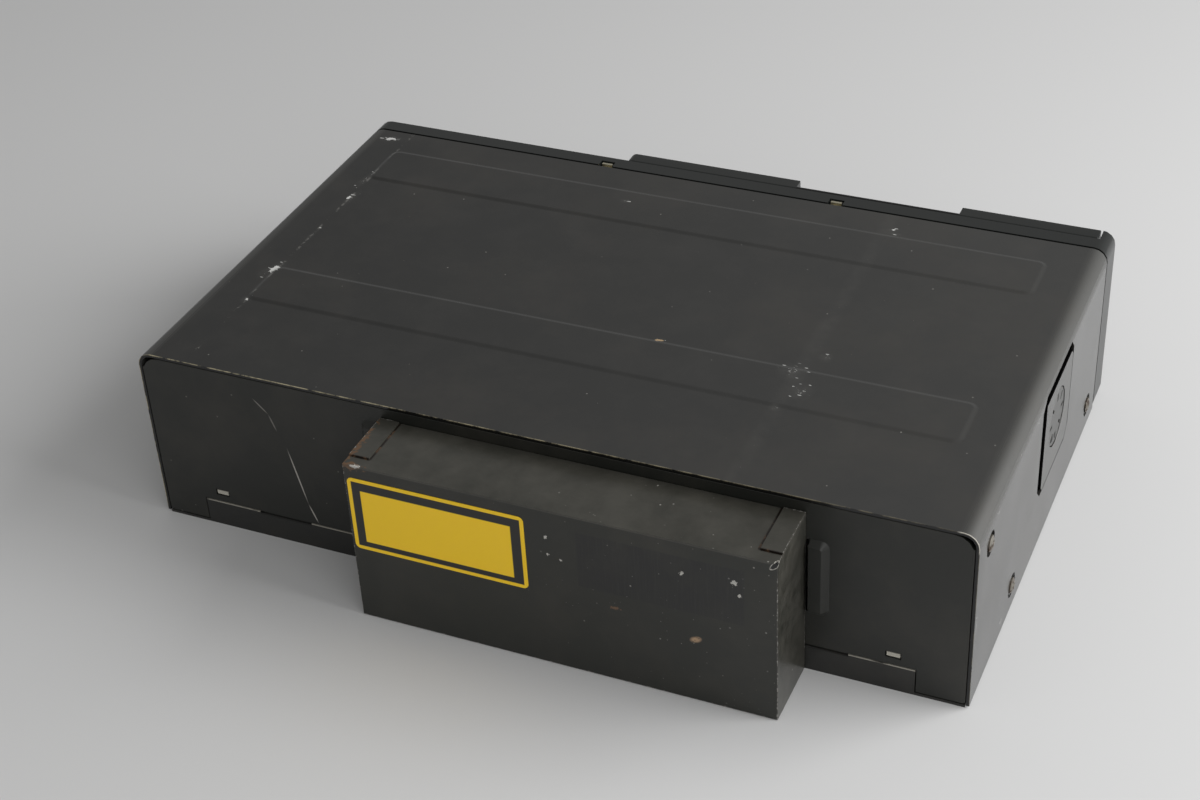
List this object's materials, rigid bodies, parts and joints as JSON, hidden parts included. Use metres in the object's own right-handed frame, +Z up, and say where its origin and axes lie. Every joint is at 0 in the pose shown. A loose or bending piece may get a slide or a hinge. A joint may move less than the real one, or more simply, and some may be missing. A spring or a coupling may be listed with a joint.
{
  "type": "car cd changer",
  "caption": "Flat steel trunk changer: a disc magazine behind a fold-down door, a lifting player deck beside it, and a connection box on the rear.",
  "frame": {"origin": "middle of the base, on the plane that the case stands on", "axes": "+X across the case towards the player deck, +Y towards the rear connection box, +Z up"},
  "size_m": [0.2844, 0.2014, 0.0665],
  "materials": {
    "case_paint": "satin",
    "dark_steel": "matte",
    "zinc_steel": "satin",
    "bezel_plastic": "matte",
    "black_plastic": "matte",
    "grey_plastic": "matte",
    "white_plastic": "satin",
    "rubber": "matte",
    "board": "satin",
    "brass": "satin",
    "bright_steel": "polished"
  },
  "bodies": {
    "case": {"top_cover": "case_paint", "bottom_plate": "dark_steel", "rear_panel": "dark_steel", "front_frame": "zinc_steel", "front_bezel": "bezel_plastic", "door_hinge_pin": "bright_steel", "cover_screw_1": "zinc_steel", "cover_screw_2": "zinc_steel", "cover_screw_3": "zinc_steel", "cover_screw_4": "zinc_steel", "cover_screw_5": "zinc_steel", "cover_screw_6": "zinc_steel", "connection_box": "dark_steel", "bus_socket": "black_plastic", "power_socket": "white_plastic", "interface_board": "board", "adjuster_plate_right": "case_paint", "adjuster_plate_left": "case_paint", "suspension_spring_right": "zinc_steel", "suspension_spring_left": "zinc_steel", "inner_chassis": "zinc_steel", "damper_1": "rubber", "damper_2": "rubber", "damper_3": "rubber", "damper_4": "rubber", "main_board": "board", "magazine_shelf": "zinc_steel", "switch_board": "board", "lift_motor": "bright_steel"},
    "door": {"door": "bezel_plastic"},
    "magazine": {"magazine_shell": "black_plastic", "tray_2": "grey_plastic", "tray_3": "grey_plastic", "tray_4": "grey_plastic", "tray_5": "grey_plastic", "tray_6": "grey_plastic"},
    "first_tray": {"tray_1": "grey_plastic"},
    "ejector": {"ejector": "white_plastic"},
    "eject_button": {"eject_button": "bezel_plastic"},
    "deck": {"deck_plate": "zinc_steel", "spindle_motor": "bright_steel", "guide_rod_1": "bright_steel", "guide_rod_2": "bright_steel", "sled_motor": "bright_steel", "clamp_pin": "bright_steel"},
    "turntable": {"turntable": "black_plastic"},
    "pickup": {"pickup_sled": "black_plastic"},
    "lead_screw": {"lead_screw": "brass"},
    "clamp": {"clamp_arm": "zinc_steel", "clamp_puck": "black_plastic"},
    "tray_puller": {"tray_puller": "white_plastic"},
    "lift_slide": {"lift_slide": "zinc_steel"},
    "lift_gear": {"lift_gear": "white_plastic"},
    "motor_pinion": {"motor_pinion": "brass"},
    "right_dial": {"adjuster_dial_right": "case_paint"},
    "left_dial": {"adjuster_dial_left": "case_paint"}
  },
  "joints": [
    {"name": "magazine_eject", "type": "slide", "parent": "case", "child": "magazine", "axis": [0, -1, 0], "range_m": [0, 0.045]},
    {"name": "door_hinge", "type": "hinge", "parent": "case", "child": "door", "pos_m": [-0.04845, -0.09795, 0.0031], "axis": [1, 0, 0], "range_deg": [0, 90]},
    {"name": "ejector_push", "type": "slide", "parent": "case", "child": "ejector", "axis": [0, -1, 0], "range_m": [0, 0.045]},
    {"name": "eject_press", "type": "slide", "parent": "case", "child": "eject_button", "axis": [0, 1, 0], "range_m": [0, 0.0015], "stiffness_N_per_m": 300},
    {"name": "deck_lift", "type": "slide", "parent": "case", "child": "deck", "axis": [0, 0, 1], "range_m": [0, 0.02767]},
    {"name": "lift_slide_travel", "type": "slide", "parent": "case", "child": "lift_slide", "axis": [1, 0, 0], "range_m": [0, 0.0415]},
    {"name": "lift_gear_turn", "type": "hinge", "parent": "case", "child": "lift_gear", "pos_m": [0.0881, 0.055, 0.05032], "axis": [0, -1, 0], "range_deg": [0, 476]},
    {"name": "motor_pinion_turn", "type": "hinge", "parent": "case", "child": "motor_pinion", "pos_m": [0.0881, 0.0585, 0.03632], "axis": [0, -1, 0], "range_deg": [-1110, 0]},
    {"name": "turntable_spin", "type": "hinge", "parent": "deck", "child": "turntable", "pos_m": [0.0581, -0.01405, 0.018], "axis": [0, 0, 1], "continuous": true},
    {"name": "pickup_travel", "type": "slide", "parent": "deck", "child": "pickup", "axis": [1, 0, 0], "range_m": [0, 0.035]},
    {"name": "lead_screw_turn", "type": "hinge", "parent": "deck", "child": "lead_screw", "pos_m": [0.09, 0.00995, 0.0098], "axis": [1, 0, 0], "range_deg": [0, 4201]},
    {"name": "clamp_close", "type": "hinge", "parent": "deck", "child": "clamp", "pos_m": [0.129, -0.01405, 0.0305], "axis": [0, -1, 0], "range_deg": [0, 3.4]},
    {"name": "tray_feed", "type": "slide", "parent": "magazine", "child": "first_tray", "axis": [-1, 0, 0], "range_m": [-0.128, 0]},
    {"name": "puller_travel", "type": "slide", "parent": "deck", "child": "tray_puller", "axis": [-1, 0, 0], "range_m": [-0.128, 0]},
    {"name": "right_dial_turn", "type": "hinge", "parent": "case", "child": "right_dial", "pos_m": [-0.1405, -0.02225, 0.0415], "axis": [-1, 0, 0], "range_deg": [0, 90]},
    {"name": "left_dial_turn", "type": "hinge", "parent": "case", "child": "left_dial", "pos_m": [0.1405, -0.02225, 0.0415], "axis": [1, 0, 0], "range_deg": [0, 90]}
  ],
  "couplings": [
    {"joint": "door_hinge", "follows": "magazine_eject", "rad_per_m": 34.9},
    {"joint": "ejector_push", "follows": "magazine_eject", "ratio": 1},
    {"joint": "lift_slide_travel", "follows": "deck_lift", "ratio": 1.5},
    {"joint": "lift_gear_turn", "follows": "deck_lift", "rad_per_m": 300},
    {"joint": "motor_pinion_turn", "follows": "deck_lift", "rad_per_m": -700},
    {"joint": "lead_screw_turn", "follows": "pickup_travel", "rad_per_m": 2094.4},
    {"joint": "puller_travel", "follows": "tray_feed", "ratio": 1}
  ]
}
